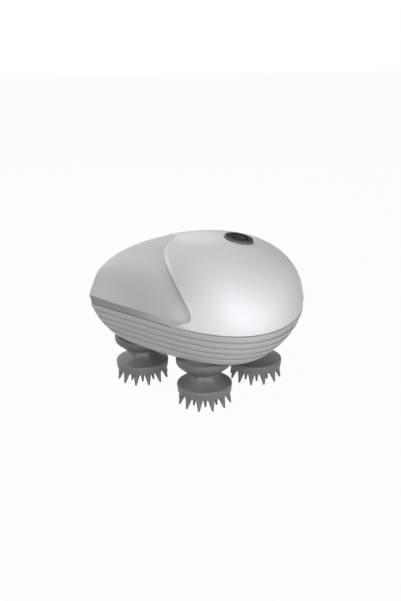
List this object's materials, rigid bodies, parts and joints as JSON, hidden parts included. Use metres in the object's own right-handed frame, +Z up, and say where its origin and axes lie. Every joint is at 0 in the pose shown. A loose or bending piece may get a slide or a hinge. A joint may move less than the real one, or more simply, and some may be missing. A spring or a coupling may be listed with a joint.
{
  "type": "scalp massager",
  "caption": "Drop-shaped hand-held scalp massager with a pearl hood, ribbed grey base and power button, on geared rotating claw heads that knead the scalp.",
  "frame": {"origin": "under the middle of the housing, on the plane of the claw tips that the massager stands on", "axes": "+Z up out of the housing's crown, -X towards the pointed nose, +X towards the round tail, +Y across to the far side"},
  "size_m": [0.1126, 0.0974, 0.0794],
  "materials": {
    "pearl_shell": "pearl satin",
    "grey_panel": "satin",
    "strip_grey": "satin",
    "ribbed_grey": "satin",
    "dark_plastic": "satin",
    "dark_silicone": "matte",
    "seal_rubber": "matte",
    "bush_bronze": "machined",
    "steel": "ground",
    "gear_plastic": "moulded",
    "chassis_plastic": "moulded",
    "motor_steel": "plated",
    "battery_sleeve": "shrink sleeve",
    "board_green": "solder mask",
    "switch_black": "moulded",
    "button_charcoal": "satin"
  },
  "bodies": {
    "housing": {"nose_collar": "dark_plastic", "nose_lip_seal": "seal_rubber", "nose_shaft_bush": "bush_bronze", "near_collar": "dark_plastic", "near_lip_seal": "seal_rubber", "near_shaft_bush": "bush_bronze", "tail_collar": "dark_plastic", "tail_lip_seal": "seal_rubber", "tail_shaft_bush": "bush_bronze", "far_collar": "dark_plastic", "far_lip_seal": "seal_rubber", "far_shaft_bush": "bush_bronze", "rear_hood": "pearl_shell", "front_panel": "grey_panel", "front_strip": "strip_grey", "lower_shell": "ribbed_grey", "shell_seal": "seal_rubber", "chassis_plate": "chassis_plastic", "drive_bush": "bush_bronze", "gear_motor": "motor_steel", "battery_cell": "battery_sleeve", "charge_board": "board_green", "charge_socket": "motor_steel", "port_plug": "seal_rubber", "button_gasket": "seal_rubber", "key_switch": "switch_black", "circuit_board": "board_green", "board_screws": "steel", "housing_screws": "steel", "panel_screws": "steel", "motor_screws": "steel"},
    "drive": {"drive_gear": "gear_plastic", "drive_shaft": "steel"},
    "button": {"power_button": "button_charcoal", "switch_plunger": "switch_black"},
    "nose_head": {"nose_claw_head": "dark_silicone", "nose_output_shaft": "steel", "nose_output_gear": "gear_plastic"},
    "near_head": {"near_claw_head": "dark_silicone", "near_output_shaft": "steel", "near_output_gear": "gear_plastic"},
    "tail_head": {"tail_claw_head": "dark_silicone", "tail_output_shaft": "steel", "tail_output_gear": "gear_plastic"},
    "far_head": {"far_claw_head": "dark_silicone", "far_output_shaft": "steel", "far_output_gear": "gear_plastic"}
  },
  "joints": [
    {"name": "drive_spin", "type": "hinge", "parent": "housing", "child": "drive", "pos_m": [0.0009, 0, 0.036], "axis": [0, 0, 1], "continuous": true},
    {"name": "nose_head_spin", "type": "hinge", "parent": "housing", "child": "nose_head", "pos_m": [-0.0296, 0, 0.02], "axis": [0, 0, 1], "continuous": true},
    {"name": "near_head_spin", "type": "hinge", "parent": "housing", "child": "near_head", "pos_m": [0.00488, -0.03024, 0.02], "axis": [0, 0, 1], "continuous": true},
    {"name": "tail_head_spin", "type": "hinge", "parent": "housing", "child": "tail_head", "pos_m": [0.0314, 0, 0.02], "axis": [0, 0, 1], "continuous": true},
    {"name": "far_head_spin", "type": "hinge", "parent": "housing", "child": "far_head", "pos_m": [0.00488, 0.03024, 0.02], "axis": [0, 0, 1], "continuous": true},
    {"name": "button_press", "type": "slide", "parent": "housing", "child": "button", "axis": [-0.2115, 0, -0.9774], "range_m": [0, 0.0008], "stiffness_N_per_m": 600}
  ],
  "couplings": [
    {"joint": "nose_head_spin", "follows": "drive_spin", "ratio": -3.6923},
    {"joint": "near_head_spin", "follows": "drive_spin", "ratio": -3.6923},
    {"joint": "tail_head_spin", "follows": "drive_spin", "ratio": -3.6923},
    {"joint": "far_head_spin", "follows": "drive_spin", "ratio": -3.6923}
  ]
}
